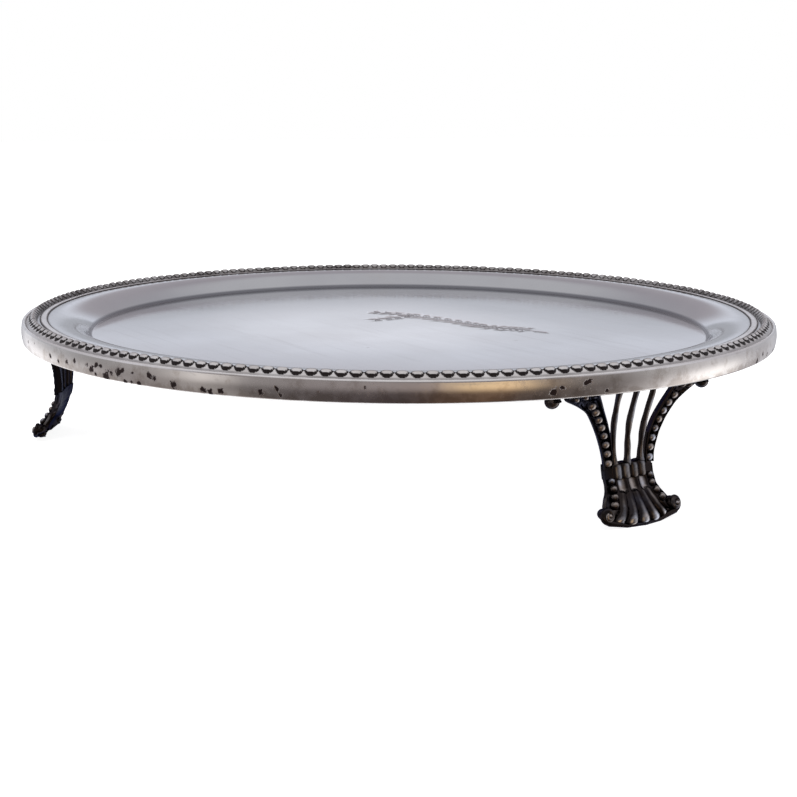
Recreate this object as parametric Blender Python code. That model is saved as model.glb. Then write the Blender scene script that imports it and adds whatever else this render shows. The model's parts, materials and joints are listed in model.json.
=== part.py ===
"""Small round silver salver (a waiter) on three openwork bracket feet.

The dish is one raised sheet: a flat field, a short steep cavetto and a narrow flange.  A plain reed and a bead
wire lie on the flange, and a plain band wraps the edge.  Each foot is soldered together from a shell-shaped toe,
two straps that spread under the rim, and three upright bars between them.

Frame: metres, +Z up, the origin on the table under the centre of the dish.  Foot 1 stands at -Y.
"""

import math

import bmesh
import bpy

# ---- Driving dimensions, in metres ----
RIM_RADIUS = 0.1016
OVERALL_HEIGHT = 0.0374
JOINT_GAP = 0.0003
ROUND_SEGMENTS = 72

# Dish
SHEET_THICKNESS = 0.00085
FIELD_RADIUS = 0.0837
FIELD_TOP = 0.0317
FLANGE_INNER_RADIUS = 0.0944
FLANGE_OUTER_RADIUS = 0.1000
FLANGE_TOP = 0.0351
CAVETTO_STEPS = 5
CAVETTO_POWER = 2.6

# Reed, beads and edge band
REED_INNER_RADIUS = 0.0949
REED_OUTER_RADIUS = 0.0967
REED_TOP = 0.0361
REED_ARC_STEPS = 4
BEAD_COUNT = 195
BEAD_RING_RADIUS = 0.09865
BEAD_RADIUS = 0.0013
BEAD_VALLEY_SHARE = 0.35
BAND_INNER_RADIUS = 0.1003
BAND_BOTTOM = 0.0308
BAND_TOP = 0.0358
BAND_EDGE_INSET = 0.0007
BAND_LIP = 0.0007

# Feet
FOOT_AZIMUTHS = (-90.0, 28.5, 147.0)
SOLDER_PLANE = FLANGE_TOP - SHEET_THICKNESS - JOINT_GAP
COLLAR_TOP = 0.0130
SHELL_DEPTH = 0.0020
SHELL_CORNER = 0.0008
STRAP_THICKNESS = 0.0020
STRAP_CHAMFER = 0.0009
BAR_WIDTH = 0.0012
BAR_THICKNESS = 0.0013
BAR_RECESS = 0.0004
BAR_STEPS = 7

# Outer face of a foot: height above the table, and distance from the dish's axis.
FOOT_FACE = (
    (0.0000, 0.1006), (0.0006, 0.1012), (0.0020, 0.1011), (0.0040, 0.1001), (0.0060, 0.0984),
    (0.0080, 0.0969), (0.0100, 0.0959), (0.0120, 0.0954), (0.0150, 0.0951), (0.0190, 0.0951),
    (0.0220, 0.0954), (0.0260, 0.0963), (0.0300, 0.0975), (0.0350, 0.0985),
)

# Half-width of the toe: height above the table, and distance from the foot's middle line.
TOE_HALF_WIDTH = (
    (0.0000, 0.0088), (0.0006, 0.0094), (0.0014, 0.0104), (0.0024, 0.0117), (0.0036, 0.0122),
    (0.0047, 0.0115), (0.0055, 0.0099), (0.0064, 0.0088), (0.0076, 0.0082), (0.0094, 0.0080),
    (COLLAR_TOP, 0.0080),
)

# How far the toe's sides fall back behind its middle: height above the table, and depth.
TOE_CROWN = ((0.0000, 0.0018), (0.0040, 0.0014), (0.0090, 0.0004), (COLLAR_TOP, 0.0003))

# Right strap: inner edge and outer edge, each as (distance from the foot's middle line, height).
STRAP_STATIONS = (
    ((0.00525, COLLAR_TOP + JOINT_GAP), (0.0080, COLLAR_TOP + JOINT_GAP)),
    ((0.0054, 0.0160), (0.0086, 0.0160)),
    ((0.0057, 0.0180), (0.0093, 0.0179)),
    ((0.0062, 0.0200), (0.0101, 0.0198)),
    ((0.0075, 0.0230), (0.0118, 0.0226)),
    ((0.0092, 0.0260), (0.0141, 0.0256)),
    ((0.0106, 0.0285), (0.0165, 0.0273)),
    ((0.0120, 0.0310), (0.0186, 0.0284)),
    ((0.0136, SOLDER_PLANE), (0.0202, 0.0291)),
    ((0.0170, SOLDER_PLANE), (0.0209, 0.0296)),
    ((0.0205, SOLDER_PLANE), (0.0214, 0.0306)),
    ((0.0221, SOLDER_PLANE), (0.0221, 0.0292)),
    ((0.0228, SOLDER_PLANE), (0.0228, 0.0281)),
    ((0.0236, SOLDER_PLANE), (0.0236, 0.0277)),
    ((0.0244, SOLDER_PLANE), (0.0244, 0.0281)),
    ((0.0251, SOLDER_PLANE), (0.0251, 0.0292)),
    ((0.0254, SOLDER_PLANE), (0.0254, 0.0306)),
)

# Middle line of the right bar: height, and distance from the foot's middle line.
SIDE_BAR_LINE = (
    (COLLAR_TOP + JOINT_GAP, 0.0042), (0.0200, 0.0047), (0.0280, 0.0053), (SOLDER_PLANE, 0.0055),
)


def clear_scene():
    """Remove whatever the scene starts with."""
    for old in list(bpy.data.objects):
        bpy.data.objects.remove(old, do_unlink=True)


def metal(name, colour, roughness):
    """A Principled metal of one colour."""
    material = bpy.data.materials.new(name)
    material.use_nodes = True
    shader = material.node_tree.nodes["Principled BSDF"]
    shader.inputs["Base Color"].default_value = (*colour, 1.0)
    shader.inputs["Metallic"].default_value = 1.0
    shader.inputs["Roughness"].default_value = roughness
    material.diffuse_color = (*colour, 1.0)
    return material


def interpolate(pairs, x):
    """Straight-line interpolation in a rising list of (x, y) pairs."""
    for (x0, y0), (x1, y1) in zip(pairs, pairs[1:]):
        if x <= x1:
            return y0 + (y1 - y0) * (x - x0) / (x1 - x0)
    return pairs[-1][1]


def add_object(name, mesh, material, parent=None):
    """Link an object for the mesh, shaded smooth except at its sharp edges."""
    if not mesh.materials:
        mesh.materials.append(material)
        mesh.shade_smooth()
        mesh.set_sharp_from_angle(angle=math.radians(35))
    piece = bpy.data.objects.new(name, mesh)
    bpy.context.scene.collection.objects.link(piece)
    piece.parent = parent
    return piece


def lofted(name, sections, closed=False):
    """A solid skinned over sections with equal point counts; its ends are capped unless it closes on itself."""
    bm = bmesh.new()
    rings = [[bm.verts.new(point) for point in section] for section in sections]
    followers = rings[1:] + rings[:1] if closed else rings[1:]
    for ring, following in zip(rings, followers):
        count = len(ring)
        for i in range(count):
            j = (i + 1) % count
            bm.faces.new((ring[i], ring[j], following[j], following[i]))
    if not closed:
        bm.faces.new(rings[0])
        bm.faces.new(rings[-1])
    bmesh.ops.recalc_face_normals(bm, faces=bm.faces)
    mesh = bpy.data.meshes.new(name)
    bm.to_mesh(mesh)
    bm.free()
    return mesh


def turned(name, outline, steps=ROUND_SEGMENTS):
    """A solid turned round the Z axis from a closed (radius, height) outline."""
    bm = bmesh.new()
    points = [bm.verts.new((radius, 0.0, height)) for radius, height in outline]
    on_axis = outline[0][0] == 0.0 and outline[-1][0] == 0.0
    ends = points[1:] if on_axis else points[1:] + points[:1]
    edges = [bm.edges.new(pair) for pair in zip(points, ends)]
    bmesh.ops.spin(bm, geom=points + edges, cent=(0, 0, 0), axis=(0, 0, 1), angle=math.tau,
                   steps=steps, use_merge=True)
    bmesh.ops.remove_doubles(bm, verts=bm.verts, dist=1e-6)
    bmesh.ops.recalc_face_normals(bm, faces=bm.faces)
    mesh = bpy.data.meshes.new(name)
    bm.to_mesh(mesh)
    bm.free()
    return mesh


def on_foot(across, height, inset=0.0):
    """A point of foot 1: distance along the rim, height, and depth behind the foot's outer face."""
    radius = interpolate(FOOT_FACE, height) - inset
    angle = across / RIM_RADIUS
    return (radius * math.sin(angle), -radius * math.cos(angle), height)


# ---- Dish, borders and band ----

def cavetto():
    """Points of the hollow wall from the flange down to the edge of the field, as (radius, height)."""
    points = []
    for step in range(CAVETTO_STEPS + 1):
        share = step / CAVETTO_STEPS
        radius = FLANGE_INNER_RADIUS + (FIELD_RADIUS - FLANGE_INNER_RADIUS) * share
        height = FIELD_TOP + (FLANGE_TOP - FIELD_TOP) * (1 - share ** CAVETTO_POWER)
        points.append((radius, height))
    return points


def make_tray_plate(material):
    """The raised sheet, the same thickness everywhere."""
    wall = cavetto()
    top = [(0.0, FIELD_TOP)] + wall[::-1] + [(FLANGE_OUTER_RADIUS, FLANGE_TOP)]
    under = [(radius, height - SHEET_THICKNESS) for radius, height in top[::-1]]
    add_object("tray_plate", turned("tray_plate", top + under), material)


def make_reed_border(material):
    """The plain half-round wire inside the beads."""
    base = FLANGE_TOP + JOINT_GAP
    middle = (REED_INNER_RADIUS + REED_OUTER_RADIUS) / 2
    half = (REED_OUTER_RADIUS - REED_INNER_RADIUS) / 2
    outline = []
    for step in range(REED_ARC_STEPS + 1):
        angle = math.pi * step / REED_ARC_STEPS
        outline.append((middle + half * math.cos(angle), base + (REED_TOP - base) * math.sin(angle)))
    add_object("reed_border", turned("reed_border", outline), material)


def make_bead_border(material):
    """The ring of beads: sections alternate between a bead's crest and the valley beside it."""
    base = FLANGE_TOP + JOINT_GAP
    rise = OVERALL_HEIGHT - base
    sections = []
    for step in range(2 * BEAD_COUNT):
        crest = step % 2 == 0
        height = rise if crest else rise * BEAD_VALLEY_SHARE
        shoulder = BEAD_RADIUS * (0.75 if crest else 0.45)
        profile = (
            (-BEAD_RADIUS, 0.0), (BEAD_RADIUS, 0.0), (shoulder, 0.7 * height), (0.0, height),
            (-shoulder, 0.7 * height),
        )
        angle = math.pi * step / BEAD_COUNT
        sections.append([((BEAD_RING_RADIUS + out) * math.cos(angle),
                          (BEAD_RING_RADIUS + out) * math.sin(angle), base + up) for out, up in profile])
    add_object("bead_border", lofted("bead_border", sections, closed=True), material)


def make_edge_band(material):
    """The plain band round the edge, slightly bulged between two small lips."""
    outline = (
        (BAND_INNER_RADIUS, BAND_TOP),
        (BAND_INNER_RADIUS, BAND_BOTTOM),
        (RIM_RADIUS - BAND_EDGE_INSET, BAND_BOTTOM),
        (RIM_RADIUS - BAND_EDGE_INSET / 3, BAND_BOTTOM + BAND_LIP),
        (RIM_RADIUS, (BAND_BOTTOM + BAND_TOP) / 2),
        (RIM_RADIUS - BAND_EDGE_INSET / 3, BAND_TOP - BAND_LIP),
        (RIM_RADIUS - BAND_EDGE_INSET, BAND_TOP),
    )
    add_object("edge_band", turned("edge_band", outline), material)


# ---- Feet ----

def toe_section(height):
    """One level of the toe: a plate of even depth whose middle stands forward of its sides."""
    half = interpolate(TOE_HALF_WIDTH, height)
    crown = interpolate(TOE_CROWN, height)
    points = []
    for share in (-1.0, -0.92, -0.7, -0.35, 0.0, 0.35, 0.7, 0.92, 1.0):
        corner = SHELL_CORNER if abs(share) == 1.0 else 0.0
        points.append(on_foot(share * half, height, crown * share ** 2 + corner))
    for share in (0.92, 0.7, 0.35, 0.0, -0.35, -0.7, -0.92):
        points.append(on_foot(share * half, height, crown * share ** 2 + SHELL_DEPTH))
    return points


def make_toe_shell():
    """The shell-shaped toe with its collar, its side volutes as the widest part."""
    return lofted("toe_shell", [toe_section(height) for height, _ in TOE_HALF_WIDTH])


def make_strap(side):
    """A strap, the web it spreads into under the rim and the knob at its end; side is 1 for right, -1 for left."""
    sections = []
    edge = STRAP_THICKNESS - STRAP_CHAMFER
    for inner, outer in STRAP_STATIONS:
        behind = [a + (b - a) * 0.75 for a, b in zip(inner, outer)]
        corners = ((inner, 0.0), (outer, 0.0), (outer, edge), (behind, STRAP_THICKNESS),
                   (inner, STRAP_THICKNESS))
        sections.append([on_foot(side * across, height, inset) for (across, height), inset in corners])
    return lofted("strap", sections)


def make_bar(side):
    """An upright bar; side is -1, 0 or 1 for left, centre and right."""
    bottom = SIDE_BAR_LINE[0][0]
    half = BAR_WIDTH / 2
    sections = []
    for step in range(BAR_STEPS + 1):
        height = bottom + (SOLDER_PLANE - bottom) * step / BAR_STEPS
        middle = side * interpolate(SIDE_BAR_LINE, height)
        front = BAR_RECESS
        back = BAR_RECESS + BAR_THICKNESS
        outline = (
            (-half, back), (-half, front + half / 2), (-half / 2, front), (half / 2, front),
            (half, front + half / 2), (half, back),
        )
        sections.append([on_foot(middle + across, height, inset) for across, inset in outline])
    return lofted("bar", sections)


def make_feet(material):
    """Three identical feet, each under an empty that is turned to its place; they are set a little unevenly."""
    members = {
        "toe_shell": make_toe_shell(),
        "strap_left": make_strap(-1),
        "strap_right": make_strap(1),
        "bar_left": make_bar(-1),
        "bar_centre": make_bar(0),
        "bar_right": make_bar(1),
    }
    for index, azimuth in enumerate(FOOT_AZIMUTHS):
        station = bpy.data.objects.new(f"foot_{index + 1}_station", None)
        station.rotation_euler.z = math.radians(azimuth - FOOT_AZIMUTHS[0])
        bpy.context.scene.collection.objects.link(station)
        for member, mesh in members.items():
            add_object(f"foot_{index + 1}_{member}", mesh, material, parent=station)


def main():
    clear_scene()
    polished = metal("polished_silver", (0.80, 0.79, 0.77), 0.18)
    worn = metal("worn_silver", (0.70, 0.67, 0.63), 0.28)
    tarnished = metal("tarnished_silver", (0.16, 0.14, 0.13), 0.42)
    make_tray_plate(polished)
    make_reed_border(worn)
    make_bead_border(worn)
    make_edge_band(worn)
    make_feet(tarnished)


main()
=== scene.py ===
"""The finished look of the small round silver salver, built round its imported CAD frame.

Fine meshes replace the CAD nodes: the raised dish with its engraved spray, the reed, the bead wire, the edge
band, and three openwork feet with beaded straps, plain bars and shell-shaped toes.  Everything is in metres,
+Z up, the origin on the table under the centre of the dish; foot 1 stands at -Y.
"""

import json
import math

import bmesh
import bpy
import numpy as np
from mathutils import Matrix, Vector, kdtree, noise
from mathutils.geometry import delaunay_2d_cdt


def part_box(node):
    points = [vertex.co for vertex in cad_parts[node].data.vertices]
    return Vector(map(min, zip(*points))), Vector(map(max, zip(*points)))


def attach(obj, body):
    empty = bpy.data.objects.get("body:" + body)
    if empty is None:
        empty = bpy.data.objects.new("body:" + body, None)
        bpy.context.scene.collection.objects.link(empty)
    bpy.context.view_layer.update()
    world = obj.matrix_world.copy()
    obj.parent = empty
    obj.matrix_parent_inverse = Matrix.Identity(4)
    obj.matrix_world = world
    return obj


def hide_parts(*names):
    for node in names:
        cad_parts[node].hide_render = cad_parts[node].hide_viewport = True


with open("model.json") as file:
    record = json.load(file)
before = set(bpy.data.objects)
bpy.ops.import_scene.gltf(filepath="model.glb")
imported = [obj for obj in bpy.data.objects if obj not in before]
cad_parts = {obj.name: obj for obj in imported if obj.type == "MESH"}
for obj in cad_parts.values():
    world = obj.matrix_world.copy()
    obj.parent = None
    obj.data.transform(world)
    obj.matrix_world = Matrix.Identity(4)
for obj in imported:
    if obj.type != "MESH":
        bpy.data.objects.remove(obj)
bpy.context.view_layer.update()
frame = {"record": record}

MM = 0.001

# ---- Sizes read from the frame ----
BAND_LOW, BAND_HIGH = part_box("edge_band")
RIM_RADIUS = BAND_HIGH.x
BAND_BOTTOM = BAND_LOW.z
BAND_TOP = BAND_HIGH.z
BEAD_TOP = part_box("bead_border")[1].z
FIELD_TOP = next(mount["pos_m"][2] for mount in frame["record"]["mounts"] if mount["name"] == "field")

# ---- Dish ----
SHEET = 0.85 * MM
FIELD_RADIUS = RIM_RADIUS - 17.9 * MM
FLANGE_INNER = RIM_RADIUS - 7.2 * MM
FLANGE_TOP = FIELD_TOP + 3.4 * MM
SHOULDER_TOP = FLANGE_TOP + 0.95 * MM
FLANGE_OUTER = RIM_RADIUS - 1.2 * MM
CAVETTO_POWER = 3.0
CAVETTO_STEPS = 26
DISH_SEGMENTS = 480
WAVE_HEIGHT = 0.05 * MM
WAVE_LENGTH = 38 * MM
DOMING_START = RIM_RADIUS - 50 * MM
DOMING_SLOPE = 0.026

# ---- Borders ----
REED_INNER = RIM_RADIUS - 7.1 * MM
REED_OUTER = RIM_RADIUS - 4.85 * MM
REED_RISE = 0.36 * MM
BEAD_COUNT = 195
BEAD_RING = RIM_RADIUS - 2.95 * MM
BEAD_HALF_WIDTH = 1.34 * MM
BEAD_SIDE_STEPS = 18
BEAD_CROSS_STEPS = 28

# ---- Feet ----
FOOT_AZIMUTHS = (-90.0, 28.5, 147.0)
SOLDER_PLANE = FLANGE_TOP - SHEET
COLLAR_TOP = 13.0 * MM
COLLAR_BOTTOM = 10.0 * MM

# ---- View ----
CAMERA_AZIMUTH = math.radians(-33.2)
CAMERA_DISTANCE = 378.1 * MM
CAMERA_HEIGHT = BAND_BOTTOM + 60.0 * MM
CAMERA_PITCH = math.radians(11.99)
CAMERA_ROLL = math.radians(0.39)
LENS = 62.0


# ---- Curves and meshes ----

def catmull(points, share):
    """Points on a Catmull-Rom curve through the given ones, at each share of its length from 0 to 1."""
    points = np.asarray(points, float)
    share = np.clip(np.asarray(share, float), 0, 1) * (len(points) - 1)
    start = np.minimum(share.astype(int), len(points) - 2)
    t = (share - start)[..., None]
    last = len(points) - 1
    p0 = points[np.maximum(start - 1, 0)]
    p1 = points[start]
    p2 = points[start + 1]
    p3 = points[np.minimum(start + 2, last)]
    return 0.5 * (2 * p1 + (p2 - p0) * t + (2 * p0 - 5 * p1 + 4 * p2 - p3) * t ** 2
                  + (3 * p1 - p0 - 3 * p2 + p3) * t ** 3)


def distance_along(points):
    """Distance of each point from the first one, along a line of them."""
    return np.concatenate([[0], np.cumsum(np.linalg.norm(np.diff(points, axis=0), axis=1))])


def unit(vectors):
    """The same directions, one long."""
    return vectors / np.linalg.norm(vectors, axis=-1, keepdims=True)


def round_turns(count):
    """Angles at equal steps round a circle."""
    return np.linspace(0, math.tau, count, endpoint=False)


def around_axis(angle, radius, height):
    """Points from their angle round the Z axis, their radius and their height."""
    angle, radius, height = np.broadcast_arrays(angle, radius, height)
    return np.stack([radius * np.cos(angle), radius * np.sin(angle), height], axis=-1)


def even(points, count):
    """A Catmull-Rom curve through the points, resampled at equal steps of length."""
    fine = catmull(points, np.linspace(0, 1, 40 * len(points)))
    along = distance_along(fine)
    wanted = np.linspace(0, along[-1], count)
    return np.stack([np.interp(wanted, along, fine[:, axis]) for axis in range(fine.shape[1])], axis=1)


def ease(low, high, value):
    """0 at low and 1 at high, with a soft start and end; low may be the larger of the two."""
    share = np.clip((value - low) / (high - low), 0, 1)
    return share * share * (3 - 2 * share)


def lattice(rows, columns, close_rows=False, close_columns=False, first=0):
    """Four-sided faces over rows and columns of points, joined end to start where they are closed."""
    faces = []
    for r in range(rows if close_rows else rows - 1):
        a, b = first + r * columns, first + (r + 1) % rows * columns
        for c in range(columns if close_columns else columns - 1):
            d = (c + 1) % columns
            faces.append((a + c, b + c, b + d, a + d))
    return faces


def set_values(mesh, name, values):
    """Store one value for each vertex, under a name that the materials read."""
    values = np.asarray(values, np.float32).ravel()
    mesh.attributes.new(name, "FLOAT", "POINT").data.foreach_set("value", values)


class Shape:
    """Collects closed bodies, with a value per vertex: 0 in hollows and painted shade, 1 where rubbed and
    under painted highlights.
    """

    def __init__(self):
        self.points = []
        self.faces = []
        self.wear_and_highlight = []

    def add(self, points, faces, wear_and_highlight):
        first = len(self.points)
        self.points.extend(map(tuple, np.asarray(points).reshape(-1, 3)))
        self.faces.extend([tuple(first + i for i in face) for face in faces])
        self.wear_and_highlight.extend(np.broadcast_to(np.asarray(wear_and_highlight, float).ravel(), (len(self.points) - first,)))

    def sheet(self, front, back, wear_and_highlight):
        """A closed body between two grids of points of the same size."""
        rows, columns = front.shape[:2]
        size = rows * columns
        faces = lattice(rows, columns)
        faces += [(size + b, size + c, size + d, size + a) for a, b, c, d in faces]
        index = np.arange(size).reshape(rows, columns)
        rim = np.concatenate([index[0], index[1:, -1], index[-1, -2::-1], index[-2:0:-1, 0]]).tolist()
        faces += [(b, a, size + a, size + b) for a, b in zip(rim, rim[1:] + rim[:1])]
        both = np.concatenate([front.reshape(-1, 3), back.reshape(-1, 3)])
        self.add(both, faces, np.concatenate([np.asarray(wear_and_highlight).ravel(), np.zeros(size)]))

    def tube(self, sections, wear_and_highlight):
        """A body skinned over rings of points, with both ends capped."""
        count, around = sections.shape[:2]
        faces = lattice(count, around, close_columns=True)
        faces += [tuple(range(around)), tuple(range((count - 1) * around, count * around))]
        wear_and_highlight = np.asarray(wear_and_highlight, float)
        self.add(sections, faces, np.broadcast_to(wear_and_highlight[:, None] if wear_and_highlight.ndim == 1 else wear_and_highlight, (count, around)))

    def dome(self, centre, outward, radii, wear_and_highlight, rings, around):
        """A closed bead: an ellipsoid with its axes upright, across and outward."""
        outward = Vector(outward).normalized()
        upright = (Vector((0, 0, 1)) - outward.z * outward).normalized()
        axes = np.array([upright * radii[0], outward.cross(upright) * radii[1], outward * radii[2]])
        tilt = np.linspace(0, math.pi, rings + 1)[1:-1, None]
        ball = around_axis(round_turns(around), np.sin(tilt), np.cos(tilt))
        ball = np.concatenate([[(0, 0, 1)], ball.reshape(-1, 3), [(0, 0, -1)]])
        last = len(ball) - 1
        faces = [(0, 1 + i, 1 + (i + 1) % around) for i in range(around)]
        faces += lattice(rings - 1, around, close_columns=True, first=1)
        faces += [(last, last - around + (i + 1) % around, last - around + i) for i in range(around)]
        self.add(np.array(centre) + ball @ axes, faces, wear_and_highlight * np.clip(ball[:, 2], 0, 1) ** 0.6)

    def finish(self, name, material, slot, replaces, sharp=None, turn=0.0):
        """Make the object, ride it on the salver's body, and let it stand for its CAD nodes."""
        mesh = bpy.data.meshes.new(name)
        mesh.from_pydata(self.points, [], self.faces)
        set_values(mesh, "wear_and_highlight", self.wear_and_highlight)
        if turn:
            mesh.transform(Matrix.Rotation(turn, 4, "Z"))
        bm = bmesh.new()
        bm.from_mesh(mesh)
        bmesh.ops.recalc_face_normals(bm, faces=bm.faces)
        bm.to_mesh(mesh)
        bm.free()
        mesh.shade_smooth()
        if sharp:
            mesh.set_sharp_from_angle(angle=math.radians(sharp))
        mesh.materials.append(material)
        piece = bpy.data.objects.new(name, mesh)
        bpy.context.scene.collection.objects.link(piece)
        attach(piece, "root")
        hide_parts(*replaces)
        return piece


def turned_rings(outline, segments, wobble):
    """Points of a closed outline of (radius, height), carried unevenly round the Z axis."""
    angle = round_turns(segments)[:, None]
    radius, height = np.array(outline).T[:, None, :]
    out, up = wobble(angle, radius, height)
    return around_axis(angle, radius + out, height + up)


def uneven(angle, seed, waves):
    """A slow, seeded unevenness round the rim, from -1 to 1."""
    source = np.random.default_rng(seed)
    total = np.zeros_like(angle)
    for wave in waves:
        total = total + source.uniform(0.4, 1.0) * np.sin(wave * angle + source.uniform(0, math.tau))
    return total / len(waves)


# ---- Materials ----

class Nodes:
    """A short way to write a node tree."""

    def __init__(self, tree):
        self.tree = tree

    def put(self, value, socket):
        if isinstance(value, bpy.types.NodeSocket):
            self.tree.links.new(value, socket)
        elif value is not None:
            socket.default_value = value

    def node(self, kind, output, inputs, **settings):
        """One output of a new node whose settings are made and whose inputs are linked or set."""
        node = self.tree.nodes.new("ShaderNode" + kind)
        for name, value in settings.items():
            setattr(node, name, value)
        for name, value in inputs.items():
            self.put(value, node.inputs[name])
        return node.outputs[output]

    def math(self, operation, first, second=None):
        return self.node("Math", "Value", {0: first, 1: second}, operation=operation)

    def times(self, first, second):
        return self.math("MULTIPLY", first, second)

    def plus(self, first, second):
        return self.math("ADD", first, second)

    def mix(self, share, first, second):
        return self.node("Mix", "Result", {"Factor": share, "A": first, "B": second}, data_type="RGBA")

    def span(self, value, low, high, to_low=0.0, to_high=1.0):
        """value from low..high, carried over softly to to_low..to_high and held there at both ends."""
        inputs = {"Value": value, "From Min": low, "From Max": high, "To Min": to_low, "To Max": to_high}
        return self.node("MapRange", "Result", inputs, interpolation_type="SMOOTHSTEP")


class Material(Nodes):
    """A material whose patterns are placed in the object's own space."""

    def __init__(self, name):
        self.material = bpy.data.materials.new(name)
        self.material.use_nodes = True
        super().__init__(self.material.node_tree)
        self.shader = self.tree.nodes["Principled BSDF"]
        self.place = self.node("TexCoord", "Object", {})

    def noise(self, scale, detail=3.0, roughness=0.5, place=None, distortion=0.0):
        return self.node("TexNoise", "Fac", {"Vector": place or self.place, "Scale": scale, "Detail": detail,
                                             "Roughness": roughness, "Distortion": distortion})

    def varied(self, value, noise, amount):
        """value, shifted up and down by a noise around its middle."""
        return self.plus(value, self.times(self.math("SUBTRACT", noise, 0.5), amount))

    def attribute(self, name):
        return self.node("Attribute", "Fac", {}, attribute_name=name)

    def bump(self, height, distance, normal=None):
        return self.node("Bump", "Normal", {"Height": height, "Distance": distance, "Normal": normal})

    def done(self, colour, roughness, normal):
        self.shade({"Metallic": 1.0, "Base Color": colour, "Roughness": roughness, "Normal": normal})
        return self.material

    def shade(self, inputs):
        for name, value in inputs.items():
            self.put(value, self.shader.inputs[name])


def rgb(red, green, blue):
    return (red, green, blue, 1.0)


def hairlines(nodes, fineness):
    """Fine polishing scratches in three directions, 0 to 1."""
    total = None
    for turn in (0.35, 1.45, 2.5):
        place = nodes.node("Mapping", "Vector", {"Vector": nodes.place, "Scale": (1.0, 0.02, 1.0),
                                                 "Rotation": (0.0, 0.0, turn)})
        sharp = nodes.span(nodes.noise(fineness, 2.0, 0.6, place), 0.6, 0.72)
        total = sharp if total is None else nodes.math("MAXIMUM", total, sharp)
    return total


def dish_silver():
    """Polished silver: a brighter, duller painted highlight in the middle; tarnish in grooves, painted shade
    in the crease and by the reed.
    """
    nodes = Material("dish_silver")
    cloud = nodes.noise(34.0, 4.0, 0.55)
    stain = nodes.span(nodes.noise(85.0, 5.0, 0.6), 0.56, 0.78)
    cells = nodes.node("TexVoronoi", "Distance", {"Vector": nodes.place, "Scale": 150.0})
    speck = nodes.times(nodes.span(cells, 0.11, 0.03), nodes.span(nodes.noise(60.0, 2.0), 0.6, 0.66))
    worn_and_lit = nodes.attribute("wear_and_highlight")
    tarnish_and_shade = nodes.attribute("tarnish_and_shade")
    lines = hairlines(nodes, 900.0)
    clean = nodes.mix(nodes.span(cloud, 0.3, 0.7), rgb(0.575, 0.585, 0.61), rgb(0.62, 0.63, 0.65))
    colour = nodes.mix(nodes.times(stain, 0.14), clean, rgb(0.55, 0.5, 0.45))
    # Painted highlight: the patch near the field's middle turns near white.
    colour = nodes.mix(worn_and_lit, colour, rgb(0.97, 0.97, 0.97))
    colour = nodes.mix(nodes.times(speck, 0.7), colour, rgb(0.22, 0.19, 0.18))
    # Dark tarnish in the engraved grooves, and painted shade along the crease and beside the reed.
    colour = nodes.mix(tarnish_and_shade, colour, rgb(0.075, 0.075, 0.1))
    rough = nodes.span(cloud, 0.3, 0.7, 0.085, 0.13)
    for mark, amount in ((worn_and_lit, 0.03), (lines, 0.03), (tarnish_and_shade, 0.25)):
        rough = nodes.plus(rough, nodes.times(mark, amount))
    normal = nodes.bump(nodes.times(lines, -1.0), 0.0008 * MM)
    return nodes.done(colour, rough, nodes.bump(nodes.noise(240.0, 3.0), 0.004 * MM, normal))


def band_silver():
    """The edge band: rubbed silver with brown stains, darker towards its lower edge, small dark pits and a
    painted highlight on its lip.
    """
    nodes = Material("band_silver")
    cloud = nodes.noise(45.0, 4.0, 0.55)
    level = nodes.node("SeparateXYZ", "Z", {"Vector": nodes.place})
    low = nodes.span(level, BAND_BOTTOM + 2.6 * MM, BAND_BOTTOM + 0.2 * MM)
    stain = nodes.span(nodes.plus(nodes.noise(260.0, 4.0, 0.6), nodes.times(low, 0.16)), 0.5, 0.72)
    crust = nodes.attribute("crust")
    pit = nodes.span(nodes.varied(crust, nodes.noise(780.0, 4.0, 0.65, distortion=0.8), 2.2), 0.45, 0.69)
    halo = nodes.span(crust, 0.12, 0.7)
    worn_and_lit = nodes.attribute("wear_and_highlight")
    clean = nodes.mix(nodes.span(cloud, 0.3, 0.7), rgb(0.78, 0.735, 0.71), rgb(0.9, 0.86, 0.845))
    colour = nodes.mix(nodes.times(stain, 0.5), clean, rgb(0.4, 0.33, 0.28))
    colour = nodes.mix(nodes.times(halo, 0.25), colour, rgb(0.45, 0.36, 0.37))
    # Rubbed wear and painted highlight: the top lip and the face just under it turn near white.
    colour = nodes.mix(nodes.times(worn_and_lit, 0.7), colour, rgb(0.97, 0.96, 0.95))
    colour = nodes.mix(pit, colour, rgb(0.075, 0.055, 0.055))
    rough = nodes.plus(nodes.span(cloud, 0.3, 0.7, 0.17, 0.25), nodes.times(pit, 0.4))
    rough = nodes.plus(rough, nodes.times(hairlines(nodes, 700.0), 0.06))
    normal = nodes.bump(nodes.times(pit, -1.0), 0.04 * MM)
    wavy = nodes.bump(nodes.noise(75.0, 2.0), 0.16 * MM, normal)
    return nodes.done(colour, rough, nodes.bump(nodes.noise(300.0, 2.0), 0.005 * MM, wavy))


def border_silver():
    """Beads and reed: bright where rubbed and under painted highlights, dark with tarnish and painted shade
    in the valleys.
    """
    nodes = Material("border_silver")
    share = nodes.span(nodes.varied(nodes.attribute("wear_and_highlight"), nodes.noise(70.0, 4.0, 0.6), 0.4), 0.1, 0.62)
    bright = nodes.span(nodes.noise(150.0), 0.35, 0.7)
    bright = nodes.mix(bright, rgb(0.92, 0.9, 0.89), rgb(0.74, 0.71, 0.69))
    colour = nodes.mix(share, rgb(0.045, 0.038, 0.038), bright)
    rough = nodes.span(share, 0.0, 1.0, 0.45, 0.2)
    return nodes.done(colour, rough, nodes.bump(nodes.noise(500.0, 3.0), 0.02 * MM))


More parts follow.
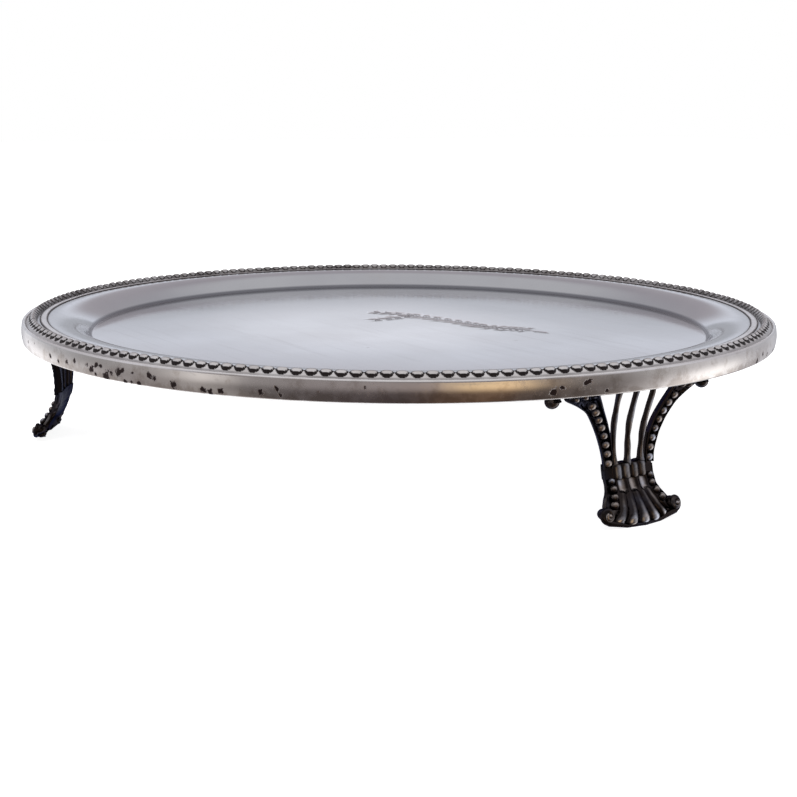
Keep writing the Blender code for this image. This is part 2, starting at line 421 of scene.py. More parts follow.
def foot_silver():
    """Silver under near-black tarnish, with brown and blue-grey film, bright where it is rubbed and under
    painted highlights.
    """
    nodes = Material("foot_silver")
    cloud = nodes.noise(190.0, 5.0, 0.6)
    film = nodes.span(nodes.noise(90.0, 3.0), 0.42, 0.62)
    film = nodes.mix(film, rgb(0.036, 0.029, 0.028), rgb(0.04, 0.042, 0.06))
    bright = nodes.span(nodes.noise(170.0, 4.0), 0.45, 0.65)
    bright = nodes.mix(bright, rgb(0.54, 0.48, 0.44), rgb(0.68, 0.71, 0.8))
    # Rubbed silver and painted highlights show through the tarnish where the value for wear and painted
    # highlight is high.
    share = nodes.span(nodes.varied(nodes.attribute("wear_and_highlight"), cloud, 0.7), 0.26, 0.95)
    nodes.shade({"Specular Tint": rgb(0.36, 0.37, 0.43)})
    rough = nodes.span(cloud, 0.3, 0.7, 0.2, 0.34)
    grain = nodes.bump(nodes.noise(900.0, 4.0, 0.6), 0.03 * MM)
    normal = nodes.bump(nodes.noise(260.0, 3.0), 0.12 * MM, grain)
    return nodes.done(nodes.mix(share, film, bright), rough, normal)


# ---- Dish ----

VIEW_RIGHT = Vector((math.cos(CAMERA_AZIMUTH), math.sin(CAMERA_AZIMUTH), 0.0))
VIEW_AHEAD = Vector((-math.sin(CAMERA_AZIMUTH), math.cos(CAMERA_AZIMUTH), 0.0))
# The engraved spray, as (to the viewer's right, away from the viewer) of the dish's middle.
STEM = np.array(((4.5, 15.5), (10.0, 10.5), (16.0, 5.0), (21.0, -0.5), (25.2, -4.3), (30.0, -6.8),
                 (34.0, -8.6), (39.5, -13.3))) * MM
FORKS = (np.array(((4.5, 15.5), (1.0, 18.3), (-3.0, 20.3), (-7.0, 21.9))) * MM,
         np.array(((4.5, 15.5), (0.5, 13.4), (-3.0, 10.2), (-6.8, 7.6))) * MM)
KNOT_SHARE = 4 / 7
LEAF_LENGTH = 4.5 * MM
LEAF_FATNESS = 0.2
LEAF_ANGLE = math.radians(40)
GROOVE_HALF_WIDTH = 0.28 * MM
GROOVE_DEPTH = 0.1 * MM
# A painted highlight on the field: a soft-edged brighter patch near its middle, placed along the view.
HIGHLIGHT_CENTRE = (-8.0 * MM, 1.0 * MM)
HIGHLIGHT_RADIUS = 48.0 * MM
# Width of the painted shade along the crease.
CREASE_SHADE_WIDTH = 0.8 * MM
HIGHLIGHT_FADE_IN = 30.0 * MM
HIGHLIGHT_FADE_OUT = 14.0 * MM
FINE_GRID = 0.16 * MM
COARSE_GRID = 2.4 * MM
EDGE_RINGS = np.array((3.2, 1.9, 0.9, 0.35)) * MM


def field_drop(radius):
    """How far the outer part of the field falls away: the middle is very slightly domed."""
    width = FIELD_RADIUS - DOMING_START
    return 0.5 * DOMING_SLOPE * max(0.0, radius - DOMING_START) ** 2 / width


def field_height(x, y):
    """Height of the field with its slight unevenness, which fades out towards the crease."""
    radius = math.hypot(x, y)
    fade = 1.0 - ease(FIELD_RADIUS - 14 * MM, FIELD_RADIUS - 1 * MM, radius)
    wave = noise.noise(Vector((x / WAVE_LENGTH, y / WAVE_LENGTH, 0.7)))
    return FIELD_TOP - field_drop(radius) + WAVE_HEIGHT * wave * fade


def sideways(direction):
    """A quarter turn to the left."""
    return np.array((-direction[1], direction[0]))


def heading(line, low, high):
    """Direction of a curve between two shares of its length."""
    start, end = catmull(line, np.array([low, high]))
    return unit(end - start)


def leaf_strokes(root, direction, length):
    """The two edges and the midrib of one leaf."""
    t = np.linspace(0, 1, 30)[:, None]
    bulge = sideways(direction) * np.sin(math.pi * t ** 0.8) * length * LEAF_FATNESS
    spine = root + direction * length * t
    return [spine + bulge, spine - bulge, root + direction * length * t * 0.8]


def loop_stroke(centre, long, wide, direction):
    """A small oval."""
    turn = np.linspace(0, math.tau, 40)[:, None]
    return centre + direction * long * np.cos(turn) + sideways(direction) * wide * np.sin(turn)


def leafy_branch(line, count, first, last, size, taper):
    """A stem with pairs of leaves that lean back along it, from the first to the last share of its length."""
    strokes = [catmull(line, np.linspace(0, 1, 260))]
    for share in np.linspace(first, last, count):
        root = catmull(line, share)
        along = heading(line, max(share - 0.02, 0.0), min(share + 0.02, 1.0))
        for hand in (-1.0, 1.0):
            direction = -along * math.cos(LEAF_ANGLE) + hand * sideways(along) * math.sin(LEAF_ANGLE)
            strokes += leaf_strokes(root, direction, size * (1 - taper * share))
    return strokes


def spray_strokes():
    """An engraved spray: a leafy stem that forks at one end, with a knot, a few loops and a bare tail."""
    strokes = leafy_branch(STEM, 8, 0.03, KNOT_SHARE - 0.05, LEAF_LENGTH, 0.1)
    for line in FORKS:
        strokes += leafy_branch(line[::-1], 4, 0.12, 0.86, 0.62 * LEAF_LENGTH, -0.3)
    knot = catmull(STEM, KNOT_SHARE)
    strokes += [loop_stroke(knot, radius, radius, np.array((1.0, 0.0))) for radius in (0.7 * MM, 1.6 * MM)]
    for turn in round_turns(6):
        direction = np.array((math.cos(turn), math.sin(turn)))
        strokes.append(loop_stroke(knot + direction * 2.3 * MM, 0.8 * MM, 0.55 * MM, direction))
    for share in (0.66, 0.72, 0.78, 0.84):
        along = heading(STEM, share, share + 0.02)
        for side in (-sideways(along), sideways(along)):
            middle = catmull(STEM, share) + side * 1.5 * MM
            strokes.append(loop_stroke(middle, 1.2 * MM, 0.6 * MM, along + side))
    flat = np.concatenate(strokes)
    return flat[:, :1] * np.array(VIEW_RIGHT[:2]) + flat[:, 1:] * np.array(VIEW_AHEAD[:2])


def cavetto_profile():
    """(radius, height) from the field's edge up to the shoulder, with a tight fillet in the crease."""
    share = np.linspace(1, 0, CAVETTO_STEPS)
    radius = FLANGE_INNER + (FIELD_RADIUS - FLANGE_INNER) * share
    low = FIELD_TOP - field_drop(FIELD_RADIUS)
    height = low + (SHOULDER_TOP - low) * (1 - share ** CAVETTO_POWER)
    return list(zip(radius, height))


def field_points():
    """Points of the field, each with the share of the groove's depth there.

    The grid is fine along the engraving and coarse elsewhere, with a few rings beside the crease.
    """
    strokes = spray_strokes()
    tree = kdtree.KDTree(len(strokes))
    for index, point in enumerate(strokes):
        tree.insert((*point, 0.0), index)
    tree.balance()
    points, depth = [], []
    low = strokes.min(axis=0) - 2 * FINE_GRID
    high = strokes.max(axis=0) + 2 * FINE_GRID
    for i in range(int((high[0] - low[0]) / FINE_GRID)):
        for j in range(int((high[1] - low[1]) / FINE_GRID)):
            x, y = low[0] + i * FINE_GRID, low[1] + (j + 0.5 * (i % 2)) * FINE_GRID
            distance = tree.find((x, y, 0.0))[2]
            if distance < 2.2 * FINE_GRID:
                points.append((x, y))
                depth.append(1.0 - ease(0.0, GROOVE_HALF_WIDTH, distance))
    steps = int(FIELD_RADIUS / COARSE_GRID) + 1
    for i in range(-steps, steps + 1):
        for j in range(-steps, steps + 1):
            x, y = (i + 0.5 * (j % 2)) * COARSE_GRID, j * COARSE_GRID * 0.866
            inside = math.hypot(x, y) < FIELD_RADIUS - EDGE_RINGS[0] - MM
            if inside and tree.find((x, y, 0.0))[2] > 3.2 * FINE_GRID:
                points.append((x, y))
    for radius in FIELD_RADIUS - EDGE_RINGS:
        points += circle_points(radius)
    return points, depth + [0.0] * (len(points) - len(depth))


def circle_points(radius):
    """Points round the dish's axis, one for each of its segments."""
    return [(radius * math.cos(angle), radius * math.sin(angle)) for angle in round_turns(DISH_SEGMENTS)]


def highlight_share(x, y):
    """How strong the painted highlight on the field is: most in a soft-edged patch near its middle."""
    middle = VIEW_RIGHT * HIGHLIGHT_CENTRE[0] + VIEW_AHEAD * HIGHLIGHT_CENTRE[1]
    far = math.hypot(x - middle.x, y - middle.y) + 3 * MM * noise.noise(Vector((x * 60, y * 60, 3.0)))
    return 1.0 - ease(HIGHLIGHT_RADIUS - HIGHLIGHT_FADE_IN, HIGHLIGHT_RADIUS + HIGHLIGHT_FADE_OUT, far)


def make_dish(material):
    """The raised sheet, top and underside, as one closed body."""
    points, depth = field_points()
    edge = circle_points(FIELD_RADIUS)
    wanted = [Vector(point) for point in points + edge]
    _, _, faces, kept, _, _ = delaunay_2d_cdt(wanted, [], [], 0, 1e-7)
    faces = [tuple(kept[i][0] for i in face) for face in faces]
    top = [(x, y, field_height(x, y) - GROOVE_DEPTH * d) for (x, y), d in zip(points, depth)]
    # The painted highlight on the field, strongest near its middle.
    worn_and_lit = [highlight_share(x, y) for x, y in points]

    wall = cavetto_profile()
    upper = wall[1:] + [(REED_OUTER, SHOULDER_TOP), (FLANGE_OUTER, FLANGE_TOP)]
    under = [(radius, height - SHEET) for radius, height in wall[:1] + upper][::-1]
    under += [(radius, FIELD_TOP - field_drop(radius) - SHEET)
              for radius in FIELD_RADIUS * np.linspace(0.92, 0.1, 9)]
    outline = upper + under

    def wobble(angle, radius, height):
        swing = uneven(angle, 11, (3, 5, 7, 12)) * ease(FIELD_RADIUS, FLANGE_INNER, radius)
        return swing * 0.1 * MM * (radius < FLANGE_OUTER - MM), swing * 0.05 * MM

    rings = turned_rings(outline, DISH_SEGMENTS, wobble)
    around = len(outline)
    base = len(points) + DISH_SEGMENTS
    pole = base + rings.shape[0] * around
    faces += lattice(DISH_SEGMENTS, around, close_rows=True, first=base)
    for k in range(DISH_SEGMENTS):
        following = (k + 1) % DISH_SEGMENTS
        a, b = base + k * around, base + following * around
        faces.append((len(points) + k, len(points) + following, b, a))
        faces.append((a + around - 1, b + around - 1, pole))
    ring_radius = np.hypot(rings[:, :, 0], rings[:, :, 1])
    # Painted shade: a dark line along the crease at the field's edge and beside the reed's inner edge.
    crease = ease(FIELD_RADIUS + CREASE_SHADE_WIDTH, FIELD_RADIUS + 0.35 * CREASE_SHADE_WIDTH, ring_radius)
    near_reed = ease(REED_INNER - 0.3 * MM, REED_INNER, ring_radius)
    is_top = np.arange(around) < len(upper)
    ring_shade = np.clip(0.85 * crease + 0.25 * near_reed, 0, 1) * is_top
    shape = Shape()
    shape.add(np.concatenate([top, [(x, y, wall[0][1]) for x, y in edge], rings.reshape(-1, 3),
                              [(0.0, 0.0, FIELD_TOP - SHEET)]]), faces,
              np.concatenate([worn_and_lit, np.zeros(DISH_SEGMENTS + ring_shade.size + 1)]))
    piece = shape.finish("dish", material, "dish", ["tray_plate"], sharp=60)
    # Tarnish in the engraved grooves; painted shade on the ring at the field's edge, along the crease and by
    # the reed.
    tarnish_and_shade = [0.95 * np.array(depth), np.full(DISH_SEGMENTS, 0.75), ring_shade.ravel(), [0]]
    set_values(piece.data, "tarnish_and_shade", np.concatenate(tarnish_and_shade))


# ---- Borders and band ----

def make_reed(material):
    """The plain half-round wire."""
    middle, half = (REED_INNER + REED_OUTER) / 2, (REED_OUTER - REED_INNER) / 2
    sweep = np.linspace(0, math.pi, 17)
    outline = [(middle + half * math.cos(a), SHOULDER_TOP - 0.1 * MM + REED_RISE * math.sin(a) ** 0.8)
               for a in sweep]
    # Painted highlight along the reed's top, painted shade down its sides.
    wear_and_highlight = [0.06 + 0.8 * math.sin(a) ** 5 for a in sweep]

    def wobble(angle, radius, height):
        swing = uneven(angle, 5, (4, 9, 17, 31))
        return swing * 0.04 * MM, swing * 0.03 * MM

    rings = turned_rings(outline, DISH_SEGMENTS, wobble)
    shape = Shape()
    shape.add(rings, lattice(DISH_SEGMENTS, len(outline), True, True), np.tile(wear_and_highlight, DISH_SEGMENTS))
    shape.finish("reed", material, "border", ["reed_border"], sharp=50)


def bead_relief(u, v):
    """(height, wear and painted light) of the wire over one bead, as shares; u runs along the rim and v
    across it, outwards.

    The wire slopes down outwards.  Each bead is a dome with a nearly straight inner side and a round outer
    one.  Bright tongues of the slope stand between the round sides, parted from the beads by a dark groove.
    The second share is painted light: a painted highlight on each bead's upper outer part and on the tongues,
    painted shade on the beads' lower outer sides and in the grooves.
    """
    reach = np.hypot(u / 0.83, (v + 0.12) / np.where(v > -0.12, 0.7, 0.9))
    lit = np.hypot(u / 0.92, (v + 0.35) / 0.73)
    slope = np.where(v > -0.2, 0.8 - 0.76 * (np.clip(v + 0.2, 0, 2) / 1.32) ** 1.15,
                     0.8 * (1 - ((-0.2 - v) / 1.0) ** 2))
    outside = ease(-0.15, 0.2, v)
    swell = np.clip(1 - np.clip(reach, 0, 1) ** 2.6, 0, 1) ** 0.6
    bead = slope + 0.22 * swell
    groove = np.exp(-((reach - 1.06) / 0.06) ** 2) * outside
    web = slope - 0.1 * groove
    # Painted highlight on the bead's upper outer part and on the tongues; the rest stays dark as painted
    # shade.
    bead_highlight = 0.38 * ease(1.0, 0.8, reach) * (1 - outside) + ease(1.0, 0.88, lit) * outside
    tongue_highlight = ease(1.07, 1.18, reach) * ease(-0.15, 0.05, v)
    tongue_highlight = tongue_highlight * (1 - 0.6 * ease(0.4, 0.75, v))
    raised = reach < 1
    inside = 0.28 * ease(-0.1, -0.4, v)
    height = np.minimum(np.where(raised, bead, web), 1.0)
    return height, np.where(raised, bead_highlight, np.maximum(tongue_highlight, inside))


def make_beads(material):
    """The struck bead wire."""
    pitch = math.tau / BEAD_COUNT
    floor = FLANGE_TOP + 0.25 * MM
    side = np.linspace(0, 1, BEAD_SIDE_STEPS, endpoint=False)
    cross = -np.cos(np.linspace(0, math.pi, BEAD_CROSS_STEPS)) * 1.12
    cross = np.sign(cross) * np.abs(cross) ** 0.9
    rng = np.random.default_rng(29)
    size = 1.0 - 0.06 * rng.uniform(0, 1, BEAD_COUNT)[:, None, None]
    lean = 0.1 * rng.uniform(-1, 1, BEAD_COUNT)[:, None, None]
    u = (side[:, None] - 0.5) * 2
    share, wear_and_highlight = bead_relief(u + lean * cross * (1 - np.abs(u)), cross + 0 * size * u)
    edge = ease(0.75, 1.0, np.abs(u))
    share = share * (size * (1 - edge) + 0.97 * edge)
    count = BEAD_COUNT * BEAD_SIDE_STEPS
    height = (floor + (BEAD_TOP - floor) * share).reshape(count, BEAD_CROSS_STEPS)
    angle = ((np.arange(BEAD_COUNT)[:, None] + side).ravel() * pitch)[:, None]
    top = around_axis(angle, BEAD_RING + cross * BEAD_HALF_WIDTH, height)
    bottom = top[:, [-1, 0]].copy()
    bottom[:, :, 2] = FLANGE_TOP - 0.05 * MM
    shape = Shape()
    shape.add(np.concatenate([top, bottom], axis=1), lattice(count, BEAD_CROSS_STEPS + 2, True, True),
              np.concatenate([wear_and_highlight.reshape(count, BEAD_CROSS_STEPS), np.zeros((count, 2))], axis=1))
    shape.finish("bead_wire", material, "border", ["bead_border"], sharp=80)


# The band's lip and foot: distance in from the rim, height over the band's top or bottom (both mm), wear and
# painted highlight.
BAND_LIP = ((1.25, -0.3, 0.1), (1.05, -0.06, 0.7), (0.86, 0.03, 1.0), (0.66, 0.01, 1.0), (0.48, -0.09, 1.0),
            (0.36, -0.24, 0.8))
BAND_FOOT = ((0.34, 0.17, 0.3), (0.46, 0.04, 0.4), (0.66, 0.0, 0.3), (1.25, 0.0, 0.2))
BAND_SEGMENTS = 1920
STRAY_PITS = 24


def band_outline():
    """(radius, height, wear and painted highlight) of the band: a rounded lip at the top, a slight bulge and
    a soft lower edge.
    """
    lip = [(RIM_RADIUS - inset * MM, BAND_TOP + up * MM, worn_and_lit) for inset, up, worn_and_lit in BAND_LIP]
    foot = [(RIM_RADIUS - inset * MM, BAND_BOTTOM + up * MM, worn_and_lit) for inset, up, worn_and_lit in BAND_FOOT]
    face = [(RIM_RADIUS - 0.3 * MM + 0.29 * MM * math.sin(math.pi * (0.04 + 0.92 * t)),
             BAND_TOP - 0.42 * MM + (BAND_BOTTOM - BAND_TOP + 0.7 * MM) * t, 0.55 * (1 - t) ** 6)
            for t in np.linspace(0, 1, 30)]
    return lip + face + foot + [(RIM_RADIUS - 1.29 * MM, (BAND_TOP + BAND_BOTTOM) / 2, 0.0)]


# Pits on the band: degrees from the side that faces the viewer, height over the lower edge and width in mm.
BAND_PITS = (
    (-54, 2.0, 0.7), (-49, 2.1, 0.9), (-47, 2.6, 0.7), (-44, 2.6, 0.6), (-43, 1.8, 1.0),
    (-42, 3.0, 0.7), (-41, 2.9, 0.6), (-42.3, 0.9, 0.7), (-40, 0.7, 1.4), (-39, 1.9, 0.9),
    (-37.5, 2.4, 1.3), (-36.8, 3.0, 0.7), (-35, 2.7, 0.5), (-36.5, 0.5, 0.6), (-35.4, 0.4, 0.5),
    (-34, 0.5, 0.8), (-32.2, 2.7, 0.8), (-31.4, 2.0, 0.7), (-28.4, 1.4, 1.1), (-24.2, 0.8, 0.9),
    (-23.2, 0.6, 0.8), (-21.8, 1.1, 0.8), (-16.5, 1.4, 0.8), (-14, 1.1, 0.6), (18.7, 1.7, 0.9),
    (19.8, 2.5, 0.7), (23.0, 3.3, 0.7), (23.6, 3.5, 0.7), (26, 1.2, 0.6), (58, 0.8, 0.9),
    (60.5, 2.0, 0.8), (63, 1.2, 0.7),
)


def make_band(material):
    """The edge band, slightly wavy by hand work, with pits mostly on the near left."""
    outline = band_outline()

    def wobble(angle, radius, height):
        slow = uneven(angle, 3, (5, 9, 14))
        quick = uneven(angle, 8, (23, 37, 61))
        return 0.05 * MM * (slow - 1) + 0.02 * MM * (quick - 1), 0.05 * MM * slow * (height > BAND_TOP - MM)

    rings = turned_rings([point[:2] for point in outline], BAND_SEGMENTS, wobble)
    shape = Shape()
    shape.add(rings, lattice(BAND_SEGMENTS, len(outline), True, True),
              np.tile([point[2] for point in outline], BAND_SEGMENTS))
    piece = shape.finish("band", material, "band", ["edge_band"], sharp=70)
    rng = np.random.default_rng(17)
    facing = math.atan2(-VIEW_AHEAD.y, -VIEW_AHEAD.x)
    pits = [(facing + math.radians(degrees), up * MM, 1.12 * width * MM) for degrees, up, width in BAND_PITS]
    pits += [(rng.uniform(0, math.tau), rng.uniform(0.6, 3.8) * MM, rng.uniform(0.4, 0.8) * MM)
             for _ in range(STRAY_PITS)]
    angle = np.arctan2(rings[:, :, 1], rings[:, :, 0])
    crust = np.zeros(angle.shape)
    for centre, up, width in pits:
        across = ((angle - centre + math.pi) % math.tau - math.pi) * RIM_RADIUS
        far = np.hypot(across, rings[:, :, 2] - BAND_BOTTOM - up) / width
        crust = np.maximum(crust, np.exp(-(1.1 * far) ** 2) * min(1.0, width / (0.75 * MM)) ** 0.5)
    set_values(piece.data, "crust", crust)


# ---- Feet ----

# Outer face of a foot from its top down to the tip and under it: (distance from the dish's axis, height).
FACE = np.array((
    (98.3, 34.5), (97.5, 30), (96.9, 28), (96.3, 26), (95.8, 24), (95.4, 22), (95.1, 19), (95.1, 15),
    (95.4, 12), (95.9, 10), (96.9, 8), (98.4, 6), (99.3, 5), (100.1, 4), (100.8, 3), (101.25, 2),
    (101.4, 1.1), (101.25, 0.5), (100.9, 0.15), (100.4, 0),
)) * MM


def face_radius(height):
    """Distance of the foot's outer face from the dish's axis, at a height."""
    return np.interp(height, FACE[::-1, 1], FACE[::-1, 0])


def face_lean(height):
    """Outward normal of the upright part in the (out, up) plane."""
    step = 0.5 * MM
    slope = (face_radius(height + step) - face_radius(height - step)) / (2 * step)
    length = np.sqrt(1 + slope ** 2)
    return 1 / length, -slope / length


def on_foot(across, radius, height):
    """Points of foot 1, which stands at -Y; across runs along the rim, and the radius is held inside it.

    Holding the radius also tips a direction: one given with radius 1 and a rise is turned well upwards.
    """
    radius = np.minimum(radius, RIM_RADIUS - 0.05 * MM)
    angle, radius, height = np.broadcast_arrays(across / RIM_RADIUS, radius, height)
    return np.stack([radius * np.sin(angle), -radius * np.cos(angle), height], axis=-1)


# Right strap, bottom to top: inner edge and outer edge as (distance from the middle line, height).
STRAP = np.array((
    ((5.2, 12.4), (8.0, 12.4)), ((5.25, 14.0), (8.1, 14.0)), ((5.4, 16.0), (8.6, 16.0)),
    ((5.7, 18.0), (9.3, 17.9)), ((6.2, 20.0), (10.15, 19.8)), ((7.5, 23.0), (11.8, 22.6)),
    ((9.2, 26.0), (14.1, 25.6)), ((10.6, 28.5), (16.4, 27.2)), ((12.0, 31.0), (18.4, 28.2)),
    ((13.4, 34.1), (20.0, 28.9)), ((17.0, 34.2), (20.8, 29.5)), ((19.6, 34.2), (21.3, 30.5)),
    ((21.5, 34.2), (21.9, 31.4)),
)) * MM
STRAP_THICKNESS = 2.0 * MM
STRAP_CHAMFER = 0.85 * MM
STRAP_BEAD_PITCH = 2.2 * MM
STRAP_BEADED_SHARE = 0.62
STRAP_EDGE_ROUNDING = 0.3 * MM
CHANNEL_DEPTH = 0.75 * MM
KNOB_PLACE = (23.6 * MM, 29.3 * MM)
KNOB_RADIUS = 1.6 * MM


def strap_relief(flat, t, rise, width):
    """(relief, wear and painted highlight) of a strap's face: a sunk channel, a row of beads up it, and a
    leafy web at its top.
    """
    line = flat[:, flat.shape[1] // 2]
    length = distance_along(line)
    first = np.interp(COLLAR_TOP + 0.6 * MM, line[:, 1], length)
    last = np.interp(STRAP_BEADED_SHARE, rise[:, 0], length)
    channel = ease(0.08, 0.19, t) * (1 - ease(0.81, 0.92, t))
    rounded = np.clip(1 - np.minimum(t, 1 - t) / 0.1, 0, 1) ** 2
    fade = 1 - 0.6 * ease(0.56, 0.72, rise)
    relief = -CHANNEL_DEPTH * channel * fade - STRAP_EDGE_ROUNDING * rounded
    web = ease(0.56, 0.68, rise) * channel
    lobes = np.abs(np.sin(math.pi * 3 * (t + rise))) * np.abs(np.sin(math.pi * (11 * rise - 1.5 * t))) ** 0.7
    relief = relief + web * 0.75 * MM * lobes
    # Painted highlights on the raised edges, the web's lobes and the bead tops; the channel and rounded edges
    # stay dark.
    wear_and_highlight = np.maximum(0.34 * (1 - channel) - 0.3 * rounded, web * lobes * 0.75)
    for distance in np.arange(first, last, STRAP_BEAD_PITCH):
        across, height = np.interp(distance, length, line[:, 0]), np.interp(distance, length, line[:, 1])
        radius = min(1.25 * np.interp(height, line[:, 1], 0.33 * width), 1.16 * MM)
        far = np.hypot((flat[:, :, 0] - across) * 0.86, (flat[:, :, 1] - height) * 1.1) / radius
        dome = np.sqrt(np.clip(1 - far ** 2, 0, 1))
        relief = np.where(far < 1, np.maximum(relief, -CHANNEL_DEPTH + 1.05 * MM * dome), relief)
        wear_and_highlight = np.where(far < 1, np.maximum(wear_and_highlight, 1.1 * dome - 0.25), wear_and_highlight)
    return relief, wear_and_highlight


def strap_shape(side):
    """A strap: raised edges, a sunk channel with a row of beads, a leafy web under the rim, and a knob."""
    shape = Shape()
    rise = np.linspace(0, 1, 250)[:, None]
    t = np.linspace(0, 1, 33)[None, :]
    inner, outer = catmull(STRAP[:, 0], rise), catmull(STRAP[:, 1], rise)
    flat = inner * (1 - t)[..., None] + outer * t[..., None]
    width = np.linalg.norm(outer - inner, axis=2)
    relief, wear_and_highlight = strap_relief(flat, t, rise, width[:, 0])
    radius, lean = face_radius(flat[:, :, 1]), face_lean(flat[:, :, 1])
    front = on_foot(side * flat[:, :, 0], radius + relief * lean[0], flat[:, :, 1] + relief * lean[1])
    narrowed = np.clip(STRAP_CHAMFER / width, 0, 0.3)
    behind = inner + (outer - inner) * (narrowed + (1 - 2 * narrowed) * t)[..., None]
    back = on_foot(side * behind[:, :, 0], radius - STRAP_THICKNESS, behind[:, :, 1])
    shape.sheet(front, back, np.clip(wear_and_highlight, 0, 1))
    knob_across, knob_height = KNOB_PLACE
    knob_radius = face_radius(knob_height) - 0.7 * MM
    shape.dome(on_foot(side * knob_across, knob_radius, knob_height), on_foot(side * knob_across, 1.0, 0.0),
               (KNOB_RADIUS, KNOB_RADIUS * 1.05, KNOB_RADIUS), 0.55, 14, 30)
    stem_height = np.linspace(knob_height, SOLDER_PLANE + 0.1 * MM, 14)
    stem = on_foot(side * (knob_across - 0.3 * MM), knob_radius, stem_height)
    flare = 1.15 * MM + 0.7 * MM * np.linspace(-1, 1, 14) ** 2
    shape.tube(swept(stem, flare), 0.15)
    return shape


# Middle line of the right-hand bar: (height, distance from the foot's middle line).
BAR_LINE = np.array(((12.6, 4.15), (20.0, 4.7), (28.0, 5.3), (34.3, 5.55))) * MM
BAR_HALF_WIDTH = 0.6 * MM
BAR_HALF_DEPTH = 0.64 * MM
BAR_SQUARENESS = 0.6


def rounded_square(value):
    """A cosine or sine drawn out, so that a circle becomes a square with round corners."""
    return np.sign(value) * np.abs(value) ** BAR_SQUARENESS


def bar_shape(side, seed):
    """A plain slender bar, a little uneven from filing, with a small fillet at each end."""
    rng = np.random.default_rng(seed)
    along = np.linspace(0, 1, 60)
    foot = BAR_LINE[0, 0]
    height = foot + (SOLDER_PLANE + 0.15 * MM - foot) * along
    swell = 1 + 0.13 * catmull(rng.uniform(-1, 1, (11, 1)), along)[:, 0]
    swell += 0.5 * np.exp(-(height - COLLAR_TOP) / (0.6 * MM))
    swell += 0.35 * np.exp(-(SOLDER_PLANE - height) / (0.6 * MM))
    swell = np.minimum(swell, 1.5)[:, None]
    drift = 0.13 * MM * catmull(rng.uniform(-1, 1, (8, 1)), along)[:, 0]
    middle = side * np.interp(height, *BAR_LINE.T) + drift
    turns = round_turns(20)
    across = rounded_square(np.cos(turns)) * BAR_HALF_WIDTH
    depth = rounded_square(np.sin(turns)) * BAR_HALF_DEPTH
    height = height[:, None]
    shape = Shape()
    radius = face_radius(height) - 1.05 * MM + depth * swell
    sections = on_foot(middle[:, None] + across * swell, radius, height)
    # Brighter on the bar's outer face: rubbed wear and painted highlight.
    shape.tube(sections, 0.1 + 0.45 * np.clip(np.sin(turns), 0, 1) + 0 * height)
    return shape


# Half-width of the toe's plate, how far its sides fall back, and the pitch of its flutes, by height.
TOE_HALF_WIDTH = ((0.0, 9.5), (0.8, 10.0), (1.8, 10.3), (3.0, 10.4), (4.0, 10.2), (5.4, 9.4), (6.4, 8.7),
                  (7.6, 8.15), (9.0, 8.0), (12.0, 8.0))
TOE_CROWN = ((0.0, 1.9), (4.0, 1.4), (9.0, 0.4), (12.0, 0.3))
FLUTE_PITCH = ((0.0, 3.65), (1.5, 3.5), (4.0, 2.6), (7.5, 1.9), (12.0, 1.7))
PETAL_PITCH = 3.3 * MM
TOE_WALL = 1.7 * MM
CORNER_LIFT = 0.8 * MM
TOE_CORNER = 1.1 * MM  # below this height the face turns under


def corner_lift(across):
    """How far the toe's lower edge rises towards its corners."""
    return CORNER_LIFT * ease(4.5 * MM, 9.6 * MM, np.abs(across))


def against_height(pairs, height):
    """A size read from pairs of (height, size), both in mm."""
    heights, values = zip(*pairs)
    return np.interp(height, np.array(heights) * MM, np.array(values) * MM)


def toe_relief(across, height, half):
    """Five flutes that fan out to the tip, three smooth petals over them, and a channel along each side."""
    def lap(value):
        return 2 * (value - np.floor(value + 0.5))

    flute = lap(across / against_height(FLUTE_PITCH, height))
    ridge = np.sqrt(np.clip(1 - flute ** 2, 0, 1))
    deep = MM * (0.3 + 0.75 * ease(7.0 * MM, 1.5 * MM, height))
    fluted = ease(7.9 * MM, 6.9 * MM, height + 0.35 * MM * (1 - ridge))
    petal = lap(across / PETAL_PITCH)
    middle = np.abs(across) < 1.5 * PETAL_PITCH
    oval = np.clip(1 - (petal / 0.86) ** 2 - ((height - 8.4 * MM) / (2.0 * MM)) ** 4, 0, 1) * middle
    relief = -fluted * deep * (1 - ridge) - (1 - fluted) * (0.1 * MM + 0.5 * MM * oval ** 0.7)
    # Painted highlights on the flute crests, strongest at the tips, and a painted sheen on the petals, with
    # rubbed wear.
    tip = ease(3.4 * MM, 1.6 * MM, height)
    wear_and_highlight = fluted * ridge ** 4 * (0.42 + 0.58 * tip) + (1 - fluted) * 0.8 * oval
    edge = half - np.abs(across)
    channel = ease(3.1 * MM, 2.6 * MM, edge) * ease(0.35 * MM, 0.8 * MM, edge)
    channel = channel * ease(4.0 * MM, 5.2 * MM, height)
    relief = relief * (1 - channel) - 0.75 * MM * channel
    wear_and_highlight = wear_and_highlight * (1 - channel)
    return relief, wear_and_highlight


